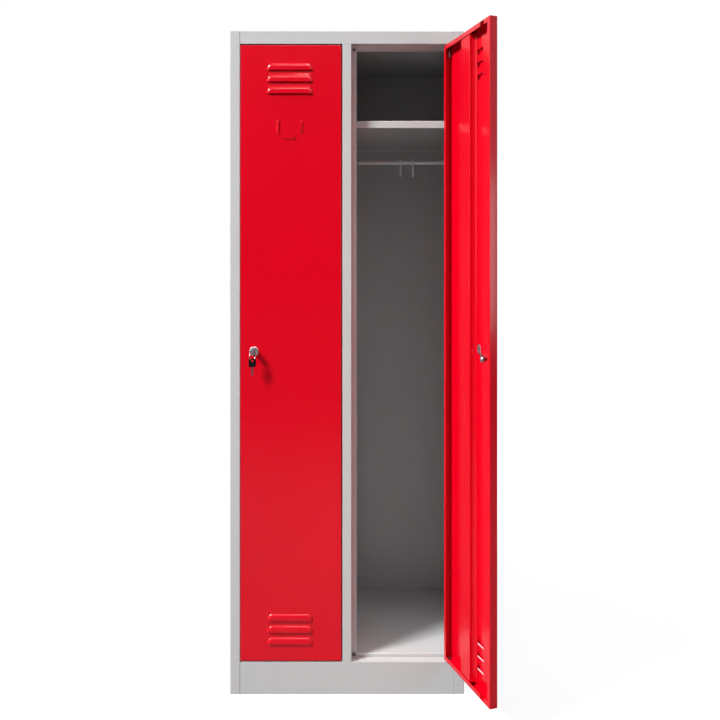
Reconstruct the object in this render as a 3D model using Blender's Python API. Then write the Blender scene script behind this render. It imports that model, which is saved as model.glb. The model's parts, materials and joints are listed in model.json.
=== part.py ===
"""Two-door steel clothes locker, modelled as separate sheet-metal and lock pieces.

Frame: metres, +Z up, +X to the right of someone facing the doors, +Y towards the back.
The origin is on the floor, at mid-width, in the plane of the two door hinge axes.
"""
import math

import bmesh
import bpy
import numpy as np
from mathutils import Matrix, Vector

# ---------------------------------------------------------------- driving sizes (metres)
WIDTH = 0.635
HEIGHT = 1.800
DEPTH = 0.500
SHEET = 0.001            # cabinet and door sheet
GAP = 0.0003             # clearance between pieces that touch

HINGE_SETBACK = 0.007    # hinge axis behind the front face
FRONT = -HINGE_SETBACK
REAR = FRONT + DEPTH

STILE = 0.027            # front face of a side panel
POST = 0.0245            # front face of the centre post
TOP_RAIL = 0.034         # front face above the doors
KICK = 0.087             # front face below the doors
RECESS = 0.028           # front face to door stop strips
STOP = 0.013             # visible width of a door stop strip
FLOOR_TOP = 0.097
REAR_FLANGE = 0.020
ROOF_REAR_FLANGE = 0.042
FLOOR_FLANGE = 0.020

SHELF_TOP = 1.564
SHELF_LIP = 0.0195
SHELF_FRONT = 0.030
SHELF_FLANGE = 0.015

ROD_Y = 0.242
ROD_Z = 1.479
ROD_RADIUS = 0.0055
HOOK_X = (0.148, 0.185)  # places of the two hooks, from the centre partition
HOOK_WIRE = 0.0024

WALL_HOLE_X = 0.261
WALL_HOLE_Z = 1.783
WALL_HOLE_RADIUS = 0.004

HINGE_GAP = 0.0030        # between a door's hinge edge and the frame
FREE_GAP = 0.0012         # between a door's free edge and the frame
DOOR_BOTTOM = KICK + 0.0035
DOOR_TOP = HEIGHT - TOP_RAIL - 0.0035
DOOR_T = 0.021
DOOR_LIP = 0.0125
HINGE_INSET = 0.008      # hinge axis to the door's hinge edge
RIGHT_DOOR_ANGLE = math.radians(110)
PIN_RADIUS = 0.0025
PIN_CLEARANCE = 0.0001
PIN_SHANK = {"top": 0.032, "bottom": 0.006}

STIFFENER = (0.106, 0.157)   # raised face, from the hinge edge
STIFFENER_FOOT = 0.012
STIFFENER_DEPTH = 0.0178

LOUVRE_W = 0.1255
LOUVRE_H = 0.0185
LOUVRE_OUT = 0.0044
LOUVRE_PITCH = 0.032
LOUVRE_CENTRE = 0.1400       # from the hinge edge
LOUVRE_LOWEST = (0.136, 1.631)
LOUVRES = 3
LOUVRE_CORNER = 0.0165
LOUVRE_SLIT = 0.0135         # height of the opening behind a louvre

LABEL_CENTRE = 0.1405
LABEL_W = 0.0710             # between the outer edges of the side lugs
LABEL_Z = 1.540
LABEL_BOTTOM_Z = 1.5065
LUG = (0.0350, 0.0070, 0.0024)   # length, height and depth of a label lug
LUG_CORNER = 0.0045
LUG_SLIT = 0.0018

NOTCH = (0.222, 0.242)       # paint-hook notch in the top and bottom lips, from the hinge edge

LOCK_FROM_HINGE_EDGE = 0.237
LOCK_Z = 0.931
ROSETTE_RADIUS = 0.0135
BARREL_RADIUS = 0.0090
PLUG_RADIUS = 0.0062
CAM_LENGTH = 0.036
CAM_WIDTH = 0.016
KEY_HOLE_OUT = 0.027         # key ring hole in front of the door face
RING_RADIUS = 0.0100
RING_WIRE = 0.0007
KEY_HOLE_RADIUS = 0.0034
CAM_OFFSET = 0.0082
BUFFER_RADIUS = 0.004

# ---------------------------------------------------------------- worked out
HALF = WIDTH / 2
OPENING = HALF - STILE           # outer edge of an opening
INNER = POST / 2                 # inner edge of an opening
STOP_Y = FRONT + RECESS          # front of the vertical stop strips
LAP_Y = STOP_Y + SHEET + GAP     # front of the horizontal stop strips, lapped behind
BACK_Y = REAR - SHEET            # front of the back panel
RAIL_BOTTOM = HEIGHT - TOP_RAIL
DOOR_W = OPENING - INNER - HINGE_GAP - FREE_GAP
HINGE_X = {"left": -INNER - HINGE_GAP - HINGE_INSET,
           "right": OPENING - HINGE_GAP - HINGE_INSET}
DOOR_ANGLE = {"left": 0.0, "right": RIGHT_DOOR_ANGLE}
LOCK_X = HINGE_INSET - LOCK_FROM_HINGE_EDGE


# ---------------------------------------------------------------- scene and materials
def clear_scene():
    for item in list(bpy.data.objects):
        bpy.data.objects.remove(item, do_unlink=True)


def make_material(name, colour, roughness, metallic=0.0):
    material = bpy.data.materials.new(name)
    material.use_nodes = True
    shader = material.node_tree.nodes["Principled BSDF"]
    shader.inputs["Base Color"].default_value = (*colour, 1.0)
    shader.inputs["Roughness"].default_value = roughness
    shader.inputs["Metallic"].default_value = metallic
    material.diffuse_color = (*colour, 1.0)
    return material


def make_materials():
    return {
        "grey": make_material("grey_powder_coat", (0.60, 0.61, 0.61), 0.45),
        "red": make_material("red_powder_coat", (0.80, 0.003, 0.016), 0.38),
        "zinc": make_material("zinc_plated_steel", (0.70, 0.71, 0.72), 0.32, 1.0),
        "chrome": make_material("chrome_plate", (0.83, 0.83, 0.84), 0.12, 1.0),
        "black": make_material("black_plastic", (0.01, 0.01, 0.011), 0.45),
        "rubber": make_material("grey_rubber", (0.20, 0.20, 0.21), 0.75),
    }


def add_object(name, mesh, material, location=(0, 0, 0), parent=None, rotation=(0, 0, 0)):
    mesh.materials.clear()
    mesh.materials.append(material)
    item = bpy.data.objects.new(name, mesh)
    bpy.context.scene.collection.objects.link(item)
    item.location = location
    item.rotation_euler = rotation
    item.parent = parent
    return item


def add_empty(name, location, parent=None, rotation=(0, 0, 0)):
    item = bpy.data.objects.new(name, None)
    bpy.context.scene.collection.objects.link(item)
    item.location = location
    item.rotation_euler = rotation
    item.parent = parent
    return item


# ---------------------------------------------------------------- mesh building
def finish_mesh(bm, smooth_angle=None):
    bmesh.ops.recalc_face_normals(bm, faces=bm.faces)
    mesh = bpy.data.meshes.new("mesh")
    bm.to_mesh(mesh)
    bm.free()
    if smooth_angle is not None:
        mesh.shade_smooth()
        mesh.set_sharp_from_angle(angle=math.radians(smooth_angle))
    return mesh


def panels_mesh(panels):
    """One closed body from axis-aligned panels ((x0, x1), (y0, y1), (z0, z1)) that meet."""
    steps = [sorted({round(value, 7) for panel in panels for value in panel[axis]})
             for axis in range(3)]
    filled = np.zeros([len(step) + 1 for step in steps], dtype=bool)
    for panel in panels:
        spans = []
        for axis in range(3):
            low = steps[axis].index(round(min(panel[axis]), 7))
            high = steps[axis].index(round(max(panel[axis]), 7))
            spans.append(slice(low + 1, high + 1))
        filled[tuple(spans)] = True
    bm = bmesh.new()
    corners = {}

    def corner(index):
        if index not in corners:
            corners[index] = bm.verts.new([steps[axis][index[axis]] for axis in range(3)])
        return corners[index]

    for cell in np.argwhere(filled):
        for axis in range(3):
            for side in (0, 1):
                neighbour = cell.copy()
                neighbour[axis] += 2 * side - 1
                if filled[tuple(neighbour)]:
                    continue
                base = [int(value) - 1 for value in cell]
                base[axis] += side
                first, second = [other for other in range(3) if other != axis]
                ring = []
                for a, b in ((0, 0), (1, 0), (1, 1), (0, 1)):
                    index = list(base)
                    index[first] += a
                    index[second] += b
                    ring.append(corner(tuple(index)))
                bm.faces.new(ring)
    bmesh.ops.dissolve_limit(bm, angle_limit=0.001, verts=bm.verts, edges=bm.edges)
    return finish_mesh(bm)


def mirrored_x(panels):
    return [((-x[1], -x[0]), y, z) for x, y, z in panels]


def loft_mesh(rings, closed=False, smooth_angle=35):
    """Skin equal rings of points; the ends are capped unless the rings form a loop."""
    bm = bmesh.new()
    rows = [[bm.verts.new(point) for point in ring] for ring in rings]
    pairs = list(zip(rows, rows[1:]))
    if closed:
        pairs.append((rows[-1], rows[0]))
    for low, high in pairs:
        for i in range(len(low)):
            j = (i + 1) % len(low)
            bm.faces.new((low[i], low[j], high[j], high[i]))
    if not closed:
        bm.faces.new(rows[0])
        bm.faces.new(rows[-1])
    return finish_mesh(bm, smooth_angle)


def turned_mesh(profile, sides=32, axis="Y", smooth_angle=35):
    """Turn a closed outline of (radius, height) points round Y or Z."""
    bm = bmesh.new()
    rows = []
    for step in range(sides):
        angle = 2 * math.pi * step / sides
        c, s = math.cos(angle), math.sin(angle)
        if axis == "Y":
            rows.append([bm.verts.new((r * c, h, r * s)) for r, h in profile])
        else:
            rows.append([bm.verts.new((r * c, r * s, h)) for r, h in profile])
    for row, following in zip(rows, rows[1:] + rows[:1]):
        for i in range(len(profile)):
            j = (i + 1) % len(profile)
            bm.faces.new((row[i], row[j], following[j], following[i]))
    bmesh.ops.remove_doubles(bm, verts=bm.verts, dist=1e-6)
    bmesh.ops.dissolve_degenerate(bm, dist=1e-6, edges=bm.edges)
    return finish_mesh(bm, smooth_angle)


def outline_mesh(points, low, high, axis="Y"):
    """Extrude a closed outline: (x, z) points along Y, or (y, z) points along X."""
    if axis == "Y":
        rings = [[(a, level, b) for a, b in points] for level in (low, high)]
    else:
        rings = [[(level, a, b) for a, b in points] for level in (low, high)]
    return loft_mesh(rings, smooth_angle=None)


def tube_mesh(path, radius, sides=8):
    """A round bar along (y, z) points in the plane x = 0, capped at both ends."""
    rings = []
    for i, (y, z) in enumerate(path):
        before = path[max(i - 1, 0)]
        after = path[min(i + 1, len(path) - 1)]
        tangent = Vector((after[0] - before[0], after[1] - before[1])).normalized()
        ring = []
        for k in range(sides):
            angle = 2 * math.pi * k / sides
            side, out = radius * math.cos(angle), radius * math.sin(angle)
            ring.append((side, y - tangent.y * out, z + tangent.x * out))
        rings.append(ring)
    return loft_mesh(rings, smooth_angle=50)


def arc(centre, radius, start, end, steps):
    """Points on an arc, angles in degrees."""
    return [(centre[0] + radius * math.cos(math.radians(start + (end - start) * i / steps)),
             centre[1] + radius * math.sin(math.radians(start + (end - start) * i / steps)))
            for i in range(steps + 1)]


def combine(mesh, tool, operation):
    """The boolean of two meshes, as a new mesh."""
    base = bpy.data.objects.new("boolean_base", mesh)
    cutter = bpy.data.objects.new("boolean_tool", tool)
    bpy.context.scene.collection.objects.link(base)
    bpy.context.scene.collection.objects.link(cutter)
    modifier = base.modifiers.new("boolean", "BOOLEAN")
    modifier.solver = "EXACT"
    modifier.operation = operation
    modifier.object = cutter
    depsgraph = bpy.context.evaluated_depsgraph_get()
    result = bpy.data.meshes.new_from_object(base.evaluated_get(depsgraph))
    bpy.data.objects.remove(base, do_unlink=True)
    bpy.data.objects.remove(cutter, do_unlink=True)
    return result


def moved(mesh, x=0.0, y=0.0, z=0.0):
    mesh.transform(Matrix.Translation((x, y, z)))
    return mesh


def drill(mesh, centre, radius, axis, reach=0.004):
    """Cut a round hole through a sheet at centre, along Y or Z."""
    profile = [(0, -reach), (radius, -reach), (radius, reach), (0, reach)]
    tool = moved(turned_mesh(profile, sides=24, axis=axis, smooth_angle=None), *centre)
    return combine(mesh, tool, "DIFFERENCE")


# ---------------------------------------------------------------- cabinet shell
def side_panel_panels():
    """The left side panel: stile, return, stop strip, wall, rear and floor flanges."""
    outer = -HALF
    top = HEIGHT - SHEET - GAP
    flange_rear = BACK_Y - GAP
    tall = (0, top)
    return [
        ((outer, outer + SHEET), (FRONT, flange_rear), tall),
        ((outer, -OPENING), (FRONT, FRONT + SHEET), tall),
        ((-OPENING - SHEET, -OPENING), (FRONT, STOP_Y + SHEET), tall),
        ((-OPENING - SHEET, -OPENING + STOP), (STOP_Y, STOP_Y + SHEET),
         (KICK + GAP, RAIL_BOTTOM - GAP)),
        ((outer, outer + REAR_FLANGE), (flange_rear - SHEET, flange_rear), tall),
        ((outer, outer + FLOOR_FLANGE), (FRONT, flange_rear), (0, SHEET)),
    ]


def add_side_panels(materials):
    panels = side_panel_panels()
    add_object("side_panel_left", panels_mesh(panels), materials["grey"])
    add_object("side_panel_right", panels_mesh(mirrored_x(panels)), materials["grey"])


def roof_panels():
    """Roof with its front rail, door stop strip, rear flange and side flanges."""
    rail = OPENING - GAP
    wall = HALF - SHEET - GAP
    top = (HEIGHT - SHEET, HEIGHT)
    rear = BACK_Y - SHEET - 2 * GAP
    return [
        ((-HALF, HALF), (FRONT, BACK_Y - GAP), top),
        ((-rail, rail), (FRONT, FRONT + SHEET), (RAIL_BOTTOM, HEIGHT)),
        ((-rail, rail), (FRONT, LAP_Y + SHEET), (RAIL_BOTTOM, RAIL_BOTTOM + SHEET)),
        ((-rail, rail), (LAP_Y, LAP_Y + SHEET), (RAIL_BOTTOM - STOP, RAIL_BOTTOM + SHEET)),
        ((-wall, wall), (rear - SHEET, rear), (HEIGHT - ROOF_REAR_FLANGE, HEIGHT)),
        ((-wall, -wall + SHEET), (LAP_Y + 2 * SHEET, rear), (HEIGHT - FLOOR_FLANGE, HEIGHT)),
        ((wall - SHEET, wall), (LAP_Y + 2 * SHEET, rear), (HEIGHT - FLOOR_FLANGE, HEIGHT)),
    ]


def add_roof(materials):
    mesh = panels_mesh(roof_panels())
    for x in HINGE_X.values():
        mesh = drill(mesh, (x, 0, RAIL_BOTTOM), PIN_RADIUS + PIN_CLEARANCE, "Z")
    for side in (-1, 1):
        hole = (side * WALL_HOLE_X, BACK_Y - SHEET, WALL_HOLE_Z)
        mesh = drill(mesh, hole, WALL_HOLE_RADIUS, "Y")
    add_object("roof_panel", mesh, materials["grey"])


def add_back(materials):
    mesh = panels_mesh([((-HALF, HALF), (BACK_Y, REAR), (0, HEIGHT))])
    add_object("back_panel", mesh, materials["grey"])


def add_kick_plate(materials):
    """Front kick plate with the ledge under the doors, its hem, and its floor flange."""
    x = (-OPENING + GAP, OPENING - GAP)
    mesh = panels_mesh([
        (x, (FRONT, FRONT + SHEET), (0, KICK)),
        (x, (FRONT, LAP_Y + SHEET), (KICK - SHEET, KICK)),
        (x, (LAP_Y, LAP_Y + SHEET), (KICK - SHELF_FLANGE, KICK)),
        (x, (FRONT, FRONT + FLOOR_FLANGE), (0, SHEET)),
    ])
    for hinge in HINGE_X.values():
        mesh = drill(mesh, (hinge, 0, KICK), PIN_RADIUS + PIN_CLEARANCE, "Z")
    add_object("kick_plate", mesh, materials["grey"])


def add_floor(materials):
    front = LAP_Y + SHEET + GAP
    rear = BACK_Y - SHEET - 2 * GAP
    wall = HALF - SHEET - GAP
    deep = (FLOOR_TOP - SHELF_FLANGE, FLOOR_TOP)
    add_object("floor_panel", panels_mesh([
        ((-wall, wall), (front, rear), (FLOOR_TOP - SHEET, FLOOR_TOP)),
        ((-wall, wall), (front, front + SHEET), deep),
        ((-wall, wall), (rear - SHEET, rear), deep),
        ((-wall, -wall + SHEET), (front, rear), deep),
        ((wall - SHEET, wall), (front, rear), deep),
    ]), materials["grey"])


def add_center_post(materials):
    """Hat-shaped post between the doors, with a stop strip on each side."""
    tall = (KICK + GAP, RAIL_BOTTOM - GAP)
    half = [
        ((0, INNER), (FRONT, FRONT + SHEET), tall),
        ((INNER - SHEET, INNER), (FRONT, STOP_Y + SHEET), tall),
        ((INNER - SHEET, INNER + STOP), (STOP_Y, STOP_Y + SHEET), tall),
    ]
    add_object("center_post", panels_mesh(half + mirrored_x(half)), materials["grey"])


def partition_rear():
    """Rear edge of the partition, in front of the roof's and floor's rear flanges."""
    return BACK_Y - 2 * SHEET - 3 * GAP


def add_partition(materials):
    front = LAP_Y + SHEET + GAP
    rear = partition_rear()
    half = SHEET / 2
    tall = (FLOOR_TOP + GAP, HEIGHT - SHEET - GAP)
    add_object("center_partition", panels_mesh([
        ((-half, half), (front, rear), tall),
        ((-half, INNER + STOP), (front, front + SHEET), tall),
        ((-half, STOP), (rear - SHEET, rear), tall),
    ]), materials["grey"])


def add_shelves(materials):
    inner = SHEET / 2 + GAP
    outer = HALF - SHEET - GAP
    rear = partition_rear() - SHEET - GAP
    drop = (SHELF_TOP - SHELF_FLANGE, SHELF_TOP)
    panels = [
        ((inner, outer), (SHELF_FRONT, rear), (SHELF_TOP - SHEET, SHELF_TOP)),
        ((inner, outer), (SHELF_FRONT, SHELF_FRONT + SHEET), (SHELF_TOP - SHELF_LIP, SHELF_TOP)),
        ((inner, outer), (rear - SHEET, rear), drop),
        ((inner, inner + SHEET), (SHELF_FRONT, rear), drop),
        ((outer - SHEET, outer), (SHELF_FRONT, rear), drop),
    ]
    add_object("shelf_right", panels_mesh(panels), materials["grey"])
    add_object("shelf_left", panels_mesh(mirrored_x(panels)), materials["grey"])


# ---------------------------------------------------------------- hanging rods and hooks
BRACKET_T = 0.0015
BRACKET_OUT = 0.012


def rod_mesh(length):
    """A rod along X with flattened ends, from x = 0."""
    flat, taper = 0.010, 0.022
    sections = [(0, 0.0070, 0.0014), (flat, 0.0070, 0.0014), (taper, ROD_RADIUS, ROD_RADIUS),
                (length - taper, ROD_RADIUS, ROD_RADIUS), (length - flat, 0.0070, 0.0014),
                (length, 0.0070, 0.0014)]
    rings = []
    for x, half_y, half_z in sections:
        angles = [2 * math.pi * k / 16 for k in range(16)]
        rings.append([(x, half_y * math.cos(a), half_z * math.sin(a)) for a in angles])
    return loft_mesh(rings, smooth_angle=50)


def bracket_panels():
    """A small pressed cleat on a wall at x = 0: a plate, and a seat under the rod's flat end."""
    seat = -0.0014 - GAP
    return [
        ((0, BRACKET_T), (-0.011, 0.011), (-0.012, 0.008)),
        ((0, BRACKET_OUT), (-0.011, 0.011), (seat - BRACKET_T, seat)),
        ((0, BRACKET_OUT), (0.0080, 0.0080 + BRACKET_T), (seat - BRACKET_T, 0.004)),
        ((0, BRACKET_OUT), (-0.0080 - BRACKET_T, -0.0080), (seat - BRACKET_T, 0.004)),
    ]


def hook_path():
    """S-shaped hook in the (y, z) plane: a loop over the rod, a shank, and a hook in front."""
    over = ROD_RADIUS + GAP + HOOK_WIRE
    low_radius = 0.0085
    low_z = -0.0330
    upper = arc((0, 0), over, -35, 180, 10)
    shank = [(-over, low_z + 0.012), (-over + 0.0004, low_z + 0.004)]
    lower = arc((-over - low_radius + 0.0006, low_z), low_radius, -10, -185, 10)
    tip = [(lower[-1][0] - 0.0006, lower[-1][1] + 0.007),
           (lower[-1][0] - 0.0020, lower[-1][1] + 0.012)]
    return upper + shank + lower + tip


def add_rods(materials):
    inner = SHEET / 2 + GAP
    outer = HALF - SHEET - GAP
    length = outer - inner - 2 * (BRACKET_T + GAP)
    rod = rod_mesh(length)
    bracket = panels_mesh(bracket_panels())
    bracket_back = panels_mesh(mirrored_x(bracket_panels()))
    hook = tube_mesh(hook_path(), HOOK_WIRE)
    for side, sign in (("left", -1), ("right", 1)):
        low = inner if sign > 0 else -outer
        high = outer if sign > 0 else -inner
        start = low + BRACKET_T + GAP
        add_object(f"hanging_rod_{side}", rod.copy(), materials["zinc"], (start, ROD_Y, ROD_Z))
        ends = {"inner": low, "outer": high} if sign > 0 else {"outer": low, "inner": high}
        for end, x in ends.items():
            shape = bracket if x == low else bracket_back
            add_object(f"rod_bracket_{side}_{end}", shape.copy(), materials["zinc"],
                       (x, ROD_Y, ROD_Z))
        for number, x in enumerate(HOOK_X, start=1):
            add_object(f"coat_hook_{side}_{number}", hook.copy(), materials["zinc"],
                       (sign * x, ROD_Y, ROD_Z))


# ---------------------------------------------------------------- doors
# Door pieces use the hinge axis as their local Z axis. With the door shut, local -X points
# to the free edge and local +Y into the locker.
def door_x(from_hinge_edge):
    return HINGE_INSET - from_hinge_edge


def door_span(near, far):
    return door_x(far), door_x(near)


def door_pan_panels():
    """Door face with four flanges and their turned-in lips."""
    face, back = FRONT, FRONT + DOOR_T
    full = door_span(0, DOOR_W)
    tall = (DOOR_BOTTOM, DOOR_TOP)
    lip = (back - SHEET, back)
    deep = (face, back)
    return [
        (full, (face, face + SHEET), tall),
        (door_span(0, SHEET), deep, tall),
        (door_span(DOOR_W - SHEET, DOOR_W), deep, tall),
        (full, deep, (DOOR_BOTTOM, DOOR_BOTTOM + SHEET)),
        (full, deep, (DOOR_TOP - SHEET, DOOR_TOP)),
        (door_span(0, DOOR_LIP), lip, tall),
        (door_span(DOOR_W - DOOR_LIP, DOOR_W), lip, tall),
    ] + [
        (span, lip, level)
        for span in (door_span(0, NOTCH[0]), door_span(NOTCH[1], DOOR_W))
        for level in ((DOOR_BOTTOM, DOOR_BOTTOM + DOOR_LIP), (DOOR_TOP - DOOR_LIP, DOOR_TOP))
    ]


def hood_outline(width, height, corner, inset):
    """Path from a hood's lower left up and over to its lower right, drawn in by inset."""
    half = width / 2 - inset
    top = height - inset
    radius = max(corner - inset, 0.0012)
    left = [(-half, 0.0)] + arc((-half + radius, top - radius), radius, 180, 90, 5)
    return left + [(-x, z) for x, z in reversed(left)]


def hood_mesh(width, height, out, corner):
    """Closed hood shell: its lower edge stands off the door face and leaves a mouth."""
    root = FRONT + SHEET / 2
    outside = [(0.0, root), (0.06 * height, FRONT - 0.35 * out),
               (0.20 * height, FRONT - 0.80 * out), (0.38 * height, FRONT - out)]
    inside = [(inset + SHEET, y + SHEET) for inset, y in reversed(outside)]
    inside[-1] = (SHEET, root)
    bm = bmesh.new()
    rows = [[bm.verts.new((x, y, z)) for x, z in hood_outline(width, height, corner, inset)]
            for inset, y in outside + inside]
    count = len(rows[0])
    for low, high in zip(rows, rows[1:] + rows[:1]):
        if low is rows[len(outside) - 1]:
            continue
        for i in range(count - 1):
            bm.faces.new((low[i], low[i + 1], high[i + 1], high[i]))
    outer_cap, inner_cap = rows[len(outside) - 1], rows[len(outside)]
    bm.faces.new(outer_cap)
    bm.faces.new(inner_cap)
    for end in (0, count - 1):
        side = [row[end] for row in rows]
        for k in range(len(outside) - 1):
            bm.faces.new((side[k], side[k + 1], side[-2 - k], side[-1 - k]))
    bm.faces.new((outer_cap[0], outer_cap[-1], inner_cap[-1], inner_cap[0]))
    return finish_mesh(bm)


def press_hood(mesh, size, corner, place, slit, turn=0.0):
    """Lance a hood out of the door face: cut the slit behind its mouth and add its shell."""
    width, height, out = size
    setting = Matrix.Translation((place[0], 0, place[1])) @ Matrix.Rotation(turn, 4, "Y")
    reach = width / 2 - 2 * SHEET
    slot = panels_mesh([((-reach, reach), (FRONT - SHEET, FRONT + 2 * SHEET), (GAP, slit))])
    hood = hood_mesh(width, height, out, corner)
    slot.transform(setting)
    hood.transform(setting)
    mesh = combine(mesh, slot, "DIFFERENCE")
    return combine(mesh, hood, "UNION")


def door_panel_mesh():
    mesh = panels_mesh(door_pan_panels())
    mesh = drill(mesh, (LOCK_X, FRONT, LOCK_Z), BARREL_RADIUS + GAP, "Y")
    for z in (DOOR_BOTTOM, DOOR_TOP):
        mesh = drill(mesh, (0, 0, z), PIN_RADIUS + GAP, "Z")
    louvre = (LOUVRE_W, LOUVRE_H, LOUVRE_OUT)
    for lowest in LOUVRE_LOWEST:
        for number in range(LOUVRES):
            place = (door_x(LOUVRE_CENTRE), lowest + number * LOUVRE_PITCH)
            mesh = press_hood(mesh, louvre, LOUVRE_CORNER, place, LOUVRE_SLIT)
    label = door_x(LABEL_CENTRE)
    reach = LABEL_W / 2 - LUG[1]
    lugs = ((label - reach, LABEL_Z, -90), (label + reach, LABEL_Z, 90),
            (label, LABEL_BOTTOM_Z + LUG[1], 180))
    for x, z, turn in lugs:
        mesh = press_hood(mesh, LUG, LUG_CORNER, (x, z), LUG_SLIT, math.radians(turn))
    return mesh


def stiffener_mesh():
    """Hat-section stiffener behind the door face."""
    near, far = STIFFENER
    foot = (FRONT + SHEET + GAP, FRONT + 2 * SHEET + GAP)
    crown = FRONT + SHEET + STIFFENER_DEPTH
    web = (foot[0], crown)
    tall = (DOOR_BOTTOM + 0.010, DOOR_TOP - 0.010)
    return panels_mesh([
        (door_span(near - STIFFENER_FOOT, near), foot, tall),
        (door_span(near - SHEET, near), web, tall),
        (door_span(near - SHEET, far + SHEET), (crown - SHEET, crown), tall),
        (door_span(far, far + SHEET), web, tall),
        (door_span(far, far + STIFFENER_FOOT), foot, tall),
    ])


def hinge_pin_mesh(shank):
    """Hinge pin standing up from its shoulder: a stub above it and a shank below."""
    stub, collar = 0.0085, 0.0034
    profile = [(0, stub), (PIN_RADIUS - 0.0006, stub), (PIN_RADIUS, stub - 0.0008),
               (PIN_RADIUS, -0.0013), (collar, -0.0013), (collar, -0.0040),
               (PIN_RADIUS, -0.0040), (PIN_RADIUS, -shank), (PIN_RADIUS - 0.0008, -shank - 0.0008),
               (0, -shank - 0.0008)]
    return turned_mesh(profile, sides=24, axis="Z")


def add_door(side, materials, panel, stiffener):
    hinge = add_empty(f"hinge_axis_{side}", (HINGE_X[side], 0, 0),
                      rotation=(0, 0, DOOR_ANGLE[side]))
    add_object(f"door_panel_{side}", panel, materials["red"], parent=hinge)
    add_object(f"door_stiffener_{side}", stiffener, materials["red"], parent=hinge)
    add_object(f"hinge_pin_{side}_top", hinge_pin_mesh(PIN_SHANK["top"]), materials["zinc"],
               (0, 0, DOOR_TOP), hinge)
    add_object(f"hinge_pin_{side}_bottom", hinge_pin_mesh(PIN_SHANK["bottom"]),
               materials["zinc"], (0, 0, DOOR_BOTTOM), hinge, rotation=(math.pi, 0, 0))
    return hinge


# ---------------------------------------------------------------- locks and keys
# Lock pieces use the lock axis as their local Y axis, with y = 0 on the door's front face.
LOCK_REAR = 0.0215
KEY_SLOT = (0.0013, 0.0046)


def lock_body_mesh():
    """Chrome rosette in front of the door and the threaded barrel behind it."""
    bore = PLUG_RADIUS + GAP
    profile = [(bore, -0.0046), (0.0098, -0.0046), (0.0122, -0.0038), (ROSETTE_RADIUS, -0.0020),
               (ROSETTE_RADIUS, -GAP), (BARREL_RADIUS, -GAP), (BARREL_RADIUS, LOCK_REAR),
               (bore, LOCK_REAR)]
    return turned_mesh(profile, sides=32)


def lock_nut_mesh():
    """Hexagonal nut that clamps the barrel to the door face from inside."""
    inner = [(BARREL_RADIUS + GAP) / math.cos(math.pi / 24)] * 24
    flats = 0.0115
    outer = []
    for k in range(24):
        offset = (2 * math.pi * k / 24 + math.pi / 6) % (math.pi / 3) - math.pi / 6
        outer.append(flats / math.cos(offset))
    low, high = SHEET + GAP, SHEET + GAP + 0.0035
    rings = []
    for k in range(24):
        c, s = math.cos(2 * math.pi * k / 24), math.sin(2 * math.pi * k / 24)
        corners = ((inner[k], low), (outer[k], low), (outer[k], high), (inner[k], high))
        rings.append([(r * c, y, r * s) for r, y in corners])
    return loft_mesh(rings, closed=True, smooth_angle=None)


def lock_plug_mesh():
    """Turning core with its keyway, and the square end that drives the cam."""
    rear = LOCK_REAR + GAP
    core = turned_mesh([(0, -0.0038), (PLUG_RADIUS - 0.0006, -0.0038), (PLUG_RADIUS, -0.0032),
                        (PLUG_RADIUS, rear), (0, rear)], sides=32)
    square = 0.0032
    drive = panels_mesh([((-square, square), (rear - 0.001, rear + 0.0022), (-square, square))])
    core = combine(core, drive, "UNION")
    half_w, half_h = KEY_SLOT
    keyway = panels_mesh([((-half_w, half_w), (-0.006, 0.0165), (-half_h, half_h))])
    return combine(core, keyway, "DIFFERENCE")


def cam_mesh():
    """Cranked cam: a foot on the square drive, an offset bend, and a tip behind the stop."""
    low = LOCK_REAR + 2 * GAP
    thick = 0.002
    offset = CAM_OFFSET
    foot, bend, tip = 0.0085, 0.0165, CAM_LENGTH
    half = CAM_WIDTH / 2
    side = [(-0.0080, low), (foot, low), (bend, low + offset), (tip, low + offset),
            (tip, low + offset + thick), (bend - 0.0008, low + offset + thick),
            (foot - 0.0008, low + thick), (-0.0080, low + thick)]
    bm = bmesh.new()
    rows = [[bm.verts.new((x, y, z)) for z, y in side] for x in (-half, half)]
    for i in range(len(side)):
        j = (i + 1) % len(side)
        bm.faces.new((rows[0][i], rows[0][j], rows[1][j], rows[1][i]))
    bm.faces.new(rows[0])
    bm.faces.new(rows[1])
    cam = finish_mesh(bm)
    square = 0.0032 + GAP
    hole = panels_mesh([((-square, square), (low - 0.002, low + 0.004), (-square, square))])
    cam = combine(cam, hole, "DIFFERENCE")
    trim = outline_mesh([(-0.02, CAM_LENGTH + 0.01), (-0.02, CAM_LENGTH - half)]
                        + arc((0, CAM_LENGTH - half), half, 180, 0, 10)
                        + [(0.02, CAM_LENGTH - half), (0.02, CAM_LENGTH + 0.01)],
                        low - 0.002, low + offset + 0.01)
    return combine(cam, trim, "DIFFERENCE")


def cam_screw_mesh():
    low = LOCK_REAR + 2 * GAP + 0.002 + GAP
    profile = [(0, low), (0.0050, low), (0.0050, low + 0.0012), (0.0038, low + 0.0026),
               (0, low + 0.0030)]
    return turned_mesh(profile, sides=24)


def key_mesh():
    """The key in the lock: a blade in the keyway and a flat round bow with its ring hole."""
    blade_half_w, blade_half_h = KEY_SLOT[0] - GAP, KEY_SLOT[1] - 2 * GAP
    mesh = panels_mesh([
        ((-blade_half_w, blade_half_w), (-0.0115, 0.0150), (-blade_half_h, blade_half_h)),
    ])
    bow_radius = 0.0115
    bow_centre = (-0.0205, 0.0)
    bow = outline_mesh(arc(bow_centre, bow_radius, 0, 345, 23),
                       -blade_half_w * 0.9, blade_half_w * 0.9, axis="X")
    mesh = combine(mesh, bow, "UNION")
    hole = outline_mesh(arc((-KEY_HOLE_OUT, 0.0), KEY_HOLE_RADIUS, 0, 345, 23), -0.01, 0.01, axis="X")
    return combine(mesh, hole, "DIFFERENCE")


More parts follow.
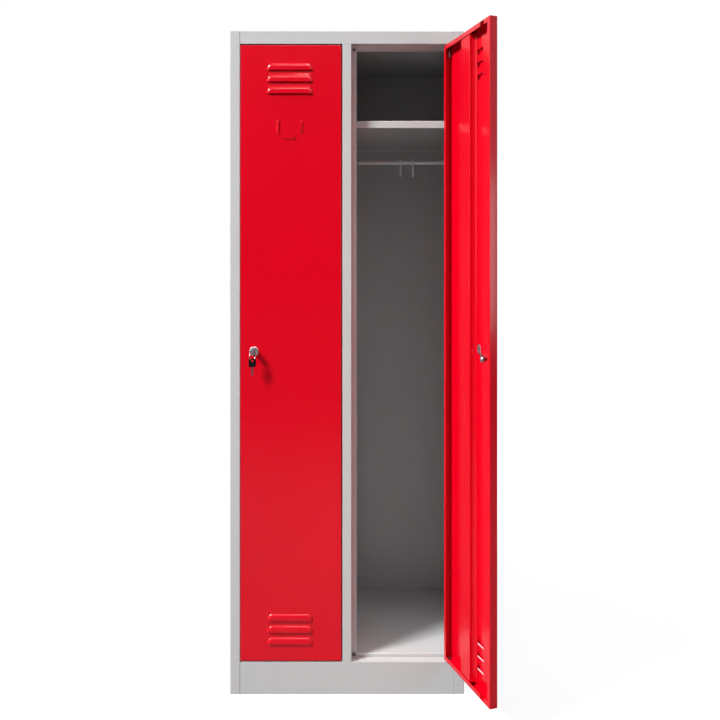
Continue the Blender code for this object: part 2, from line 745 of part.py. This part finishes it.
def ring_mesh():
    """Key ring in the (x, z) plane, round its own centre."""
    rings = []
    for step in range(32):
        angle = 2 * math.pi * step / 32
        ring = []
        for k in range(8):
            turn = 2 * math.pi * k / 8
            radius = RING_RADIUS + RING_WIRE * math.cos(turn)
            ring.append((radius * math.cos(angle), RING_WIRE * math.sin(turn),
                         radius * math.sin(angle)))
        rings.append(ring)
    return loft_mesh(rings, closed=True, smooth_angle=60)


def spare_head_mesh():
    """Black plastic grip of the spare key, flat in the (x, z) plane, hole centre at zero."""
    half_w, top, bottom, radius, half_t = 0.0098, 0.0058, -0.0165, 0.0040, 0.0015
    outline = (arc((half_w - radius, top - radius), radius, 0, 90, 4)
               + arc((-half_w + radius, top - radius), radius, 90, 180, 4)
               + arc((-half_w + 0.002, bottom + 0.002), 0.002, 180, 270, 3)
               + arc((half_w - 0.002, bottom + 0.002), 0.002, 270, 360, 3))
    head = outline_mesh(outline, -half_t, half_t)
    hole = outline_mesh(arc((0, 0), 0.0036, 0, 345, 23), -0.01, 0.01)
    pocket = panels_mesh([((-0.0030, 0.0030), (-0.0009, 0.0009), (bottom - 0.01, -0.0065))])
    head = combine(head, hole, "DIFFERENCE")
    return combine(head, pocket, "DIFFERENCE")


def spare_blade_mesh():
    """Steel blade of the spare key, held in the pocket of its grip."""
    bottom, tip = -0.0165, -0.0400
    half = 0.0026
    teeth = 5
    pitch = 0.0036
    left = [(-half, bottom + 0.0095), (-half, tip + 0.003), (-half + 0.002, tip)]
    right = [(half - 0.0018, tip)]
    for k in range(teeth):
        z = tip + 0.0020 + k * pitch
        right += [(half, z), (half - 0.0009, z + pitch / 2)]
    right += [(half, tip + 0.0020 + teeth * pitch), (half, bottom + 0.0095)]
    return outline_mesh(left + right, -0.0006, 0.0006)


def add_lock(side, hinge, materials):
    axis = add_empty(f"lock_axis_{side}", (LOCK_X, FRONT, LOCK_Z), hinge)
    add_object(f"lock_body_{side}", lock_body_mesh(), materials["chrome"], parent=axis)
    add_object(f"lock_nut_{side}", lock_nut_mesh(), materials["zinc"], parent=axis)
    add_object(f"lock_plug_{side}", lock_plug_mesh(), materials["chrome"], parent=axis)
    add_object(f"lock_cam_{side}", cam_mesh(), materials["zinc"], parent=axis)
    add_object(f"cam_screw_{side}", cam_screw_mesh(), materials["zinc"], parent=axis)
    return axis


def add_keys(axis, materials):
    """A key in the left lock, a ring through its bow, and a spare key hanging on the ring."""
    add_object("key_in_lock", key_mesh(), materials["zinc"], parent=axis)
    top_wire = -0.0014
    pivot = add_empty("key_ring_axis", (0, -KEY_HOLE_OUT, top_wire), axis)
    add_object("key_ring", ring_mesh(), materials["zinc"], (0, 0, -RING_RADIUS), pivot,
               rotation=(0, 0, math.radians(45)))
    hole_z = -2 * RING_RADIUS - 0.0015
    add_object("spare_key_grip", spare_head_mesh(), materials["black"], (0, 0, hole_z), pivot)
    add_object("spare_key_blade", spare_blade_mesh(), materials["zinc"], (0, 0, hole_z), pivot)


def add_buffers(materials):
    """Rubber door buffers on the stop strips, at the free edge of each door."""
    length = STOP_Y - (FRONT + DOOR_T) - 3 * GAP
    profile = [(0, 0), (BUFFER_RADIUS, 0), (BUFFER_RADIUS, -length + 0.001),
               (BUFFER_RADIUS - 0.001, -length), (0, -length)]
    places = {"left": -OPENING + STOP / 2, "right": INNER + STOP / 2}
    for side, x in places.items():
        for level, z in (("top", DOOR_TOP - 0.006), ("bottom", DOOR_BOTTOM + 0.006)):
            add_object(f"door_buffer_{side}_{level}", turned_mesh(profile, sides=16),
                       materials["rubber"], (x, STOP_Y - GAP, z))


def main():
    clear_scene()
    materials = make_materials()
    add_side_panels(materials)
    add_roof(materials)
    add_back(materials)
    add_kick_plate(materials)
    add_floor(materials)
    add_center_post(materials)
    add_partition(materials)
    add_shelves(materials)
    add_rods(materials)
    add_buffers(materials)
    panel = door_panel_mesh()
    stiffener = stiffener_mesh()
    for side in ("left", "right"):
        hinge = add_door(side, materials, panel, stiffener)
        axis = add_lock(side, hinge, materials)
        if side == "left":
            add_keys(axis, materials)


main()
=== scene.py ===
"""Looks of the two-door steel locker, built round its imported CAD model."""
import json
import math

import bmesh
import bpy
from mathutils import Matrix, Vector
from mathutils.geometry import intersect_point_line


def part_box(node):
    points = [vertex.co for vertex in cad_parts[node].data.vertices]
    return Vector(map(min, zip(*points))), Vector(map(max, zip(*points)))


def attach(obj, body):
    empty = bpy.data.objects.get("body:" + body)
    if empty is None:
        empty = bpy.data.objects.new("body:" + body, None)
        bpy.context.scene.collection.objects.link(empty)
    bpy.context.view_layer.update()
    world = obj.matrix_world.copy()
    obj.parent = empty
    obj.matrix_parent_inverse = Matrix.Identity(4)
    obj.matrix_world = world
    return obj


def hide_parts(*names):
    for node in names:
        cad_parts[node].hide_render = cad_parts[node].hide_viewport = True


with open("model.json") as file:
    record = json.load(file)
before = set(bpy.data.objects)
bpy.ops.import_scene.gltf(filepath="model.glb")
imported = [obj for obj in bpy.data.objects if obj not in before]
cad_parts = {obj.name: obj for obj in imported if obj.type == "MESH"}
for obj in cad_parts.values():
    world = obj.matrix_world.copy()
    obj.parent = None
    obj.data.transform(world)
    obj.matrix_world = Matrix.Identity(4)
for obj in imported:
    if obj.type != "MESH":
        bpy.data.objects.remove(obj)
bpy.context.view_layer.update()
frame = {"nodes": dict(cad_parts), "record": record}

# ---------------------------------------------------------------- sizes (metres)
SHEET = 0.001
BEND_RADIUS = 0.0018         # outside radius of a sheet bend
BEND_STEPS = 3
BROKEN_EDGE = 0.0002
COAT_ROUGHNESS = 0.15
MOULDED_GLOSS = 0.06
CAMERA_PLACE = (0.122, -2.179, 1.125)
CAMERA_LENS = 40.0
CAMERA_SHIFT = (-0.0443, -0.1113)
FLOOR_SIZE = 60.0
FLOOR_GLOW = (0.88, 1.0)     # emission strength near the locker and far from it
FLOOR_GLOSS = 0.03           # share of the glow that gloss picks up
FLOOR_GLOW_REACH = (1.0, 3.5)
SKY_LIGHT = 0.14
KEY_TARGET = (2.8, 0.0, -2.0)
KEY_PLACE = (-3.90, -2.80, 4.95)
KEY_SIZE = 1.5
KEY_POWER = 93.0
KEY_SPREAD = math.radians(62)
FILL_PLACE = (2.60, -2.90, 1.30)
FILL_TARGET = (0.0, 0.0, 1.0)
FILL_SIZE = 1.0
FILL_POWER = 15.0
FILL_COLOUR = (0.90, 1.0, 1.0)
TOP_PLACE = (0.15, -0.35, 4.2)
TOP_TARGET = (0.15, -0.10, 0.0)
TOP_SIZE = 0.6
TOP_POWER = 30.0
BACK_PLACE = (1.6, 3.6, 2.2)
BACK_TARGET = (0.0, 0.5, 0.9)
BACK_SIZE = 1.6
BACK_POWER = 15.0
CARD_PLACE = (0.0, -3.0, 4.3)
CARD_TARGET = (0.0, 0.0, 1.4)
CARD_SIZE = 1.5
CARD_POWER = 60.0
DARK_FRONT = (-0.95, -0.80)  # Y of a direction: gloss sees black at the first, white at the second

BENT_NODES = ["side_panel_left", "side_panel_right", "roof_panel", "kick_plate", "floor_panel",
              "center_post", "center_partition", "shelf_left", "shelf_right",
              "door_panel_left", "door_panel_right",
              "door_stiffener_left", "door_stiffener_right"]

HARD_NODES = ["lock_nut_left", "lock_nut_right", "lock_cam_left", "lock_cam_right",
              "key_in_lock", "spare_key_grip", "spare_key_blade",
              "rod_bracket_left_inner", "rod_bracket_left_outer",
              "rod_bracket_right_inner", "rod_bracket_right_outer"]
RIVET_HEIGHTS = (0.105, 0.386, 0.667, 0.948, 1.229, 1.510, 1.782)
RIVET_COLUMNS = (-0.16, 0.0, 0.16)
RIVET_RADIUS = 0.0042
RIVET_RISE = 0.0016
RIVET_INSET = 0.009          # rivet centre from the back panel's edge


# ---------------------------------------------------------------- node materials
def new_material(name):
    material = bpy.data.materials.new(name)
    material.use_nodes = True
    tree = material.node_tree
    return material, tree, tree.nodes["Principled BSDF"]


def add_node(tree, kind, **values):
    node = tree.nodes.new(kind)
    for key, value in values.items():
        if key in node.inputs:
            node.inputs[key].default_value = value
        else:
            setattr(node, key, value)
    return node


def noise(tree, scale, detail=2.0, roughness=0.5):
    coordinates = add_node(tree, "ShaderNodeTexCoord")
    node = add_node(tree, "ShaderNodeTexNoise", Scale=scale, Detail=detail, Roughness=roughness)
    tree.links.new(coordinates.outputs["Object"], node.inputs["Vector"])
    return node.outputs["Fac"]


def mapped(tree, value, low, high, in_low=0.3, in_high=0.7):
    node = add_node(tree, "ShaderNodeMapRange")
    node.inputs["From Min"].default_value = in_low
    node.inputs["From Max"].default_value = in_high
    node.inputs["To Min"].default_value = low
    node.inputs["To Max"].default_value = high
    tree.links.new(value, node.inputs["Value"])
    return node.outputs["Result"]


def colour_mix(tree, factor, first, second):
    node = add_node(tree, "ShaderNodeMix", data_type="RGBA")
    node.inputs[6].default_value = (*first, 1)
    node.inputs[7].default_value = (*second, 1)
    tree.links.new(factor, node.inputs[0])
    return node.outputs[2]


def blend_values(tree, factor, first, second):
    """Blend two strengths, each a number or a socket, by a factor from 0 to 1."""
    node = add_node(tree, "ShaderNodeMix", data_type="FLOAT")
    tree.links.new(factor, node.inputs[0])
    for socket, value in ((node.inputs[2], first), (node.inputs[3], second)):
        if isinstance(value, float):
            socket.default_value = value
        else:
            tree.links.new(value, socket)
    return node.outputs[0]


def add_bump(tree, shader, value, distance):
    bump = add_node(tree, "ShaderNodeBump", Distance=distance, Strength=1.0)
    tree.links.new(value, bump.inputs["Height"])
    tree.links.new(bump.outputs["Normal"], shader.inputs["Normal"])


def powder_coat(name, colour, shade, roughness, gloss, coat):
    """Sprayed and baked powder coat: fine orange peel, faint uneven colour, uneven gloss."""
    material, tree, shader = new_material(name)
    broad = mapped(tree, noise(tree, 3.5, 3.0), 0.0, 1.0)
    tree.links.new(colour_mix(tree, broad, colour, shade), shader.inputs["Base Color"])
    peel = noise(tree, 420.0, 2.0)
    tree.links.new(mapped(tree, noise(tree, 60.0, 3.0), roughness - 0.03, roughness + 0.05),
                   shader.inputs["Roughness"])
    shader.inputs["Specular IOR Level"].default_value = gloss
    shader.inputs["Coat Weight"].default_value = coat
    shader.inputs["Coat Roughness"].default_value = COAT_ROUGHNESS
    add_bump(tree, shader, peel, 0.00005)
    return material


def plated(name, colour, shade, roughness, grain=300.0, metallic=1.0):
    """Plated steel: small cloudy changes of colour and gloss, and fine scratches."""
    material, tree, shader = new_material(name)
    cloud = mapped(tree, noise(tree, grain, 3.0), 0.0, 1.0)
    tree.links.new(colour_mix(tree, cloud, colour, shade), shader.inputs["Base Color"])
    tree.links.new(mapped(tree, noise(tree, grain * 2, 4.0), roughness - 0.04, roughness + 0.10),
                   shader.inputs["Roughness"])
    shader.inputs["Metallic"].default_value = metallic
    add_bump(tree, shader, noise(tree, grain * 6, 2.0), 0.00002)
    return material


def moulded(name, colour, shade, roughness):
    """Moulded plastic or rubber with a fine spark-eroded grain."""
    material, tree, shader = new_material(name)
    cloud = mapped(tree, noise(tree, 200.0, 2.0), 0.0, 1.0)
    tree.links.new(colour_mix(tree, cloud, colour, shade), shader.inputs["Base Color"])
    tree.links.new(mapped(tree, noise(tree, 900.0, 2.0), roughness - 0.05, roughness + 0.08),
                   shader.inputs["Roughness"])
    shader.inputs["Specular IOR Level"].default_value = MOULDED_GLOSS
    add_bump(tree, shader, noise(tree, 1500.0, 2.0), 0.00005)
    return material


MATERIALS = {
    "grey_coat": powder_coat("grey_coat_look", (0.572, 0.572, 0.572), (0.556, 0.557, 0.558),
                             0.45, 0.10, 0.5),
    "red_coat": powder_coat("red_coat_look", (0.72, 0.0, 0.0125), (0.69, 0.0, 0.0115),
                            0.42, 0.04, 0.7),
    "zinc_steel": plated("zinc_look", (0.70, 0.71, 0.72), (0.60, 0.61, 0.63), 0.28),
    "chrome_plate": plated("chrome_look", (0.86, 0.86, 0.87), (0.82, 0.82, 0.84), 0.08, 900.0),
    "black_plastic": moulded("black_plastic_look", (0.004, 0.004, 0.004),
                             (0.007, 0.007, 0.007), 0.5),
    "rubber_grey": moulded("rubber_look", (0.16, 0.16, 0.165), (0.12, 0.12, 0.125), 0.75),
}
PIN_STEEL = plated("pin_steel_look", (0.30, 0.30, 0.31), (0.20, 0.20, 0.21), 0.35)
KEY_STEEL = plated("key_steel_look", (0.60, 0.57, 0.57), (0.52, 0.50, 0.50), 0.10, 900.0)
ROD_ZINC = plated("rod_zinc_look", (0.88, 0.88, 0.89), (0.80, 0.80, 0.81), 0.36, metallic=0.35)
OWN_LOOKS = {"hinge_pin": PIN_STEEL, "hanging_rod": ROD_ZINC, "coat_hook": ROD_ZINC,
             "key_": KEY_STEEL, "spare_key_blade": KEY_STEEL}
NODE_SLOT = {part["node"]: part["material_slot"] for part in frame["record"]["subparts"]}
NODE_BODY = {node: body for body, nodes in frame["record"]["behaviour"]["bodies"].items()
             for node in nodes}


# ---------------------------------------------------------------- sheet bends
def node_bmesh(node):
    """A CAD node's geometry with its split corners joined and its triangles paired."""
    bm = bmesh.new()
    bm.from_mesh(frame["nodes"][node].data)
    bmesh.ops.remove_doubles(bm, verts=bm.verts, dist=1e-6)
    bmesh.ops.join_triangles(bm, faces=bm.faces, angle_face_threshold=0.01,
                             angle_shape_threshold=3.1)
    return bm


def inside_corners(bm):
    """The inner corners of the sheet's folds, as pairs of end points."""
    return [(edge.verts[0].co.copy(), edge.verts[1].co.copy()) for edge in bm.edges
            if len(edge.link_faces) == 2 and not edge.is_convex
            and abs(edge.calc_face_angle(0.0) - math.pi / 2) < 0.02]


def is_bend(edge, corners):
    """True for a fold's outer corner: its inner corner lies one sheet further in."""
    if len(edge.link_faces) != 2 or not edge.is_convex:
        return False
    if abs(edge.calc_face_angle(0.0) - math.pi / 2) > 0.02:
        return False
    middle = (edge.verts[0].co + edge.verts[1].co) / 2
    inner = middle - SHEET * (edge.link_faces[0].normal + edge.link_faces[1].normal)
    for start, end in corners:
        nearest, part = intersect_point_line(inner, start, end)
        if 0 <= part <= 1 and (nearest - inner).length < 0.2 * SHEET:
            return True
    return False


def add_piece(name, mesh, body, slot):
    """Link a new piece, give it its slot's finish and let it ride on its body."""
    mesh.shade_smooth()
    mesh.set_sharp_from_angle(angle=math.radians(32))
    piece = bpy.data.objects.new(name, mesh)
    bpy.context.scene.collection.objects.link(piece)
    mesh.materials.append(MATERIALS[slot])
    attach(piece, body)
    return piece


def soften_edges(piece, width):
    """Break a piece's sharp edges by a small width."""
    weld = piece.modifiers.new("join_corners", "WELD")
    weld.merge_threshold = 1e-6
    bevel = piece.modifiers.new("broken_edges", "BEVEL")
    bevel.width = width
    bevel.segments = 1
    bevel.limit_method = "ANGLE"
    bevel.angle_limit = math.radians(50)
    bevel.harden_normals = True


def add_bent_sheet(node):
    """Stand a copy with rounded bends in for a folded sheet-metal node."""
    bm = node_bmesh(node)
    corners = inside_corners(bm)
    bends = [edge for edge in bm.edges if is_bend(edge, corners)]
    bmesh.ops.bevel(bm, geom=bends, offset=BEND_RADIUS, offset_type="OFFSET", segments=BEND_STEPS,
                    profile=0.5, affect="EDGES", clamp_overlap=False)
    mesh = bpy.data.meshes.new(node + "_sheet")
    bm.to_mesh(mesh)
    bm.free()
    piece = add_piece(node + "_sheet", mesh, NODE_BODY[node], NODE_SLOT[node])
    flat = piece.modifiers.new("flat_faces", "WEIGHTED_NORMAL")
    flat.keep_sharp = True
    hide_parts(node)


def add_rivets():
    """Pop rivets that hold the back panel to the flanges behind its edges."""
    low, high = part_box("back_panel")
    sides = [(x, z) for x in (low[0] + RIVET_INSET, high[0] - RIVET_INSET)
             for z in RIVET_HEIGHTS]
    ends = [(x, z) for x in RIVET_COLUMNS for z in (RIVET_HEIGHTS[0], RIVET_HEIGHTS[-1])]
    bm = bmesh.new()
    for x, z in sides + ends:
        setting = (Matrix.Translation((x, high[1], z))
                   @ Matrix.Diagonal((RIVET_RADIUS, RIVET_RISE, RIVET_RADIUS, 1)))
        bmesh.ops.create_uvsphere(bm, u_segments=20, v_segments=12, radius=1.0, matrix=setting)
    mesh = bpy.data.meshes.new("back_panel_rivets")
    bm.to_mesh(mesh)
    bm.free()
    add_piece("back_panel_rivets", mesh, "cabinet", "grey_coat")


def finish_nodes():
    """Give each CAD node its slot's finish, or its own steel, and break hard metal edges."""
    for name, node in frame["nodes"].items():
        node.data.materials.clear()
        node.data.materials.append(MATERIALS[NODE_SLOT[name]])
        if name in HARD_NODES:
            soften_edges(node, BROKEN_EDGE)
        for start, material in OWN_LOOKS.items():
            if name.startswith(start):
                node.data.materials[0] = material


# ---------------------------------------------------------------- floor, light, camera
def add_floor():
    """Studio floor: dim in the locker's light, and close to the white backdrop when seen."""
    material, tree, shader = new_material("studio_floor_look")
    tone = mapped(tree, noise(tree, 1.5, 2.0), 0.0, 1.0)
    tree.links.new(colour_mix(tree, tone, (0.28, 0.28, 0.28), (0.26, 0.26, 0.26)),
                   shader.inputs["Base Color"])
    shader.inputs["Roughness"].default_value = 0.9
    shader.inputs["Specular IOR Level"].default_value = 0.1
    shader.inputs["Emission Color"].default_value = (1, 1, 1, 1)
    path = add_node(tree, "ShaderNodeLightPath")
    gloss = mapped(tree, path.outputs["Is Glossy Ray"], 0.0, FLOOR_GLOSS, 0.0, 1.0)
    seen = blend_values(tree, path.outputs["Is Camera Ray"], gloss, 1.0)
    coordinates = add_node(tree, "ShaderNodeTexCoord")
    distance = add_node(tree, "ShaderNodeVectorMath", operation="LENGTH")
    tree.links.new(coordinates.outputs["Object"], distance.inputs[0])
    glow = add_node(tree, "ShaderNodeMath", operation="MULTIPLY")
    tree.links.new(mapped(tree, distance.outputs["Value"], *FLOOR_GLOW, *FLOOR_GLOW_REACH),
                   glow.inputs[0])
    tree.links.new(seen, glow.inputs[1])
    tree.links.new(glow.outputs["Value"], shader.inputs["Emission Strength"])
    bpy.ops.mesh.primitive_plane_add(size=FLOOR_SIZE, location=(0, 0, 0))
    floor = bpy.context.object
    floor.name = "studio_floor"
    floor.data.materials.append(material)


def add_area_light(name, place, target, size, power):
    light = bpy.data.lights.new(name, "AREA")
    light.shape = "SQUARE"
    light.size = size
    light.energy = power
    item = bpy.data.objects.new(name, light)
    bpy.context.scene.collection.objects.link(item)
    item.location = place
    direction = Vector(target) - Vector(place)
    item.rotation_euler = direction.to_track_quat("-Z", "Y").to_euler()
    item.visible_camera = False
    return item


def add_world():
    """White to the camera, a weak even light, and in gloss a bright room that is dark in front."""
    world = bpy.data.worlds.new("studio_world")
    bpy.context.scene.world = world
    world.use_nodes = True
    tree = world.node_tree
    background = tree.nodes["Background"]
    background.inputs["Color"].default_value = (1, 1, 1, 1)
    path = add_node(tree, "ShaderNodeLightPath")
    split = add_node(tree, "ShaderNodeSeparateXYZ")
    coordinates = add_node(tree, "ShaderNodeTexCoord")
    tree.links.new(coordinates.outputs["Generated"], split.inputs["Vector"])
    reflected = mapped(tree, split.outputs["Y"], 0.0, 1.0, *DARK_FRONT)
    strength = blend_values(tree, path.outputs["Is Glossy Ray"], SKY_LIGHT, reflected)
    strength = blend_values(tree, path.outputs["Is Camera Ray"], strength, 1.0)
    tree.links.new(strength, background.inputs["Strength"])


def add_lights():
    key = add_area_light("key_light", KEY_PLACE, KEY_TARGET, KEY_SIZE, KEY_POWER)
    key.data.spread = KEY_SPREAD
    fill = add_area_light("fill_light", FILL_PLACE, FILL_TARGET, FILL_SIZE, FILL_POWER)
    fill.data.color = FILL_COLOUR
    add_area_light("top_light", TOP_PLACE, TOP_TARGET, TOP_SIZE, TOP_POWER)
    add_area_light("back_light", BACK_PLACE, BACK_TARGET, BACK_SIZE, BACK_POWER)
    card = add_area_light("gloss_card", CARD_PLACE, CARD_TARGET, CARD_SIZE, CARD_POWER)
    card.visible_diffuse = False


def add_camera():
    camera = bpy.data.cameras.new("camera")
    camera.lens = CAMERA_LENS
    camera.sensor_width = 36.0
    camera.shift_x, camera.shift_y = CAMERA_SHIFT
    item = bpy.data.objects.new("camera", camera)
    bpy.context.scene.collection.objects.link(item)
    item.location = CAMERA_PLACE
    item.rotation_euler = (math.radians(90), 0, 0)
    bpy.context.scene.camera = item


bpy.context.scene.view_settings.view_transform = "Standard"
finish_nodes()
for sheet_node in BENT_NODES:
    add_bent_sheet(sheet_node)
add_rivets()
add_floor()
add_world()
add_lights()
add_camera()
